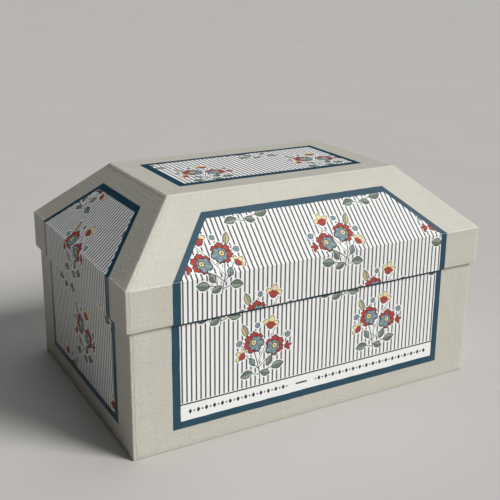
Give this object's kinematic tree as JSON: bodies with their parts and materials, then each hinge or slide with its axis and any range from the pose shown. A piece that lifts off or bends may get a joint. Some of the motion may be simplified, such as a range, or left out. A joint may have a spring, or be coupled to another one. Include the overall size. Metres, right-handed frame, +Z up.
{
  "type": "hat box",
  "caption": "Rectangular board hat box with a lift-off hipped lid, covered in painted paper with printed sheets in blue borders.",
  "frame": {"origin": "centre of the underside, on the surface that the box stands on", "axes": "+Z up, X along the length, -Y towards the front"},
  "size_m": [0.43, 0.296, 0.2451],
  "materials": {
    "greyboard": "raw greyboard",
    "painted_paper": "brush-painted warm grey paper, matt",
    "blue_paper": "smooth blue paper, matt",
    "printed_paper": "white paper block-printed with dark pin stripes and flower sprigs",
    "lining_paper": "plain laid lining paper",
    "gummed_tape": "brown gummed tape"
  },
  "bodies": {
    "base": {"base_bottom_paper": "painted_paper", "base_floor_board": "greyboard", "base_floor_lining": "lining_paper", "base_wall_front": "greyboard", "base_wall_right": "greyboard", "base_wall_back": "greyboard", "base_wall_left": "greyboard", "base_cover_front": "painted_paper", "base_cover_right": "painted_paper", "base_cover_back": "painted_paper", "base_cover_left": "painted_paper", "base_border_front": "blue_paper", "base_border_right": "blue_paper", "base_border_back": "blue_paper", "base_border_left": "blue_paper", "base_print_front": "printed_paper", "base_print_right": "printed_paper", "base_print_back": "printed_paper", "base_print_left": "printed_paper", "base_lining_front": "lining_paper", "base_lining_right": "lining_paper", "base_lining_back": "lining_paper", "base_lining_left": "lining_paper", "base_tape_front_left": "gummed_tape", "base_tape_front_right": "gummed_tape", "base_tape_back_right": "gummed_tape", "base_tape_back_left": "gummed_tape"},
    "lid": {"lid_top_board": "greyboard", "lid_cover_top": "painted_paper", "lid_lining_top": "lining_paper", "lid_border_top": "blue_paper", "lid_print_top": "printed_paper", "lid_skirt_front": "greyboard", "lid_skirt_right": "greyboard", "lid_skirt_back": "greyboard", "lid_skirt_left": "greyboard", "lid_slope_front": "greyboard", "lid_slope_right": "greyboard", "lid_slope_back": "greyboard", "lid_slope_left": "greyboard", "lid_cover_front": "painted_paper", "lid_cover_right": "painted_paper", "lid_cover_back": "painted_paper", "lid_cover_left": "painted_paper", "lid_border_front": "blue_paper", "lid_border_right": "blue_paper", "lid_border_back": "blue_paper", "lid_border_left": "blue_paper", "lid_print_front": "printed_paper", "lid_print_right": "printed_paper", "lid_print_back": "printed_paper", "lid_print_left": "printed_paper", "lid_lining_front": "lining_paper", "lid_lining_right": "lining_paper", "lid_lining_back": "lining_paper", "lid_lining_left": "lining_paper", "lid_tape_front_left": "gummed_tape", "lid_tape_front_right": "gummed_tape", "lid_tape_back_right": "gummed_tape", "lid_tape_back_left": "gummed_tape"}
  },
  "joints": [
    {"name": "lid_lift", "type": "slide", "parent": "base", "child": "lid", "axis": [0, 0, 1], "range_m": [0, 0.15]}
  ]
}
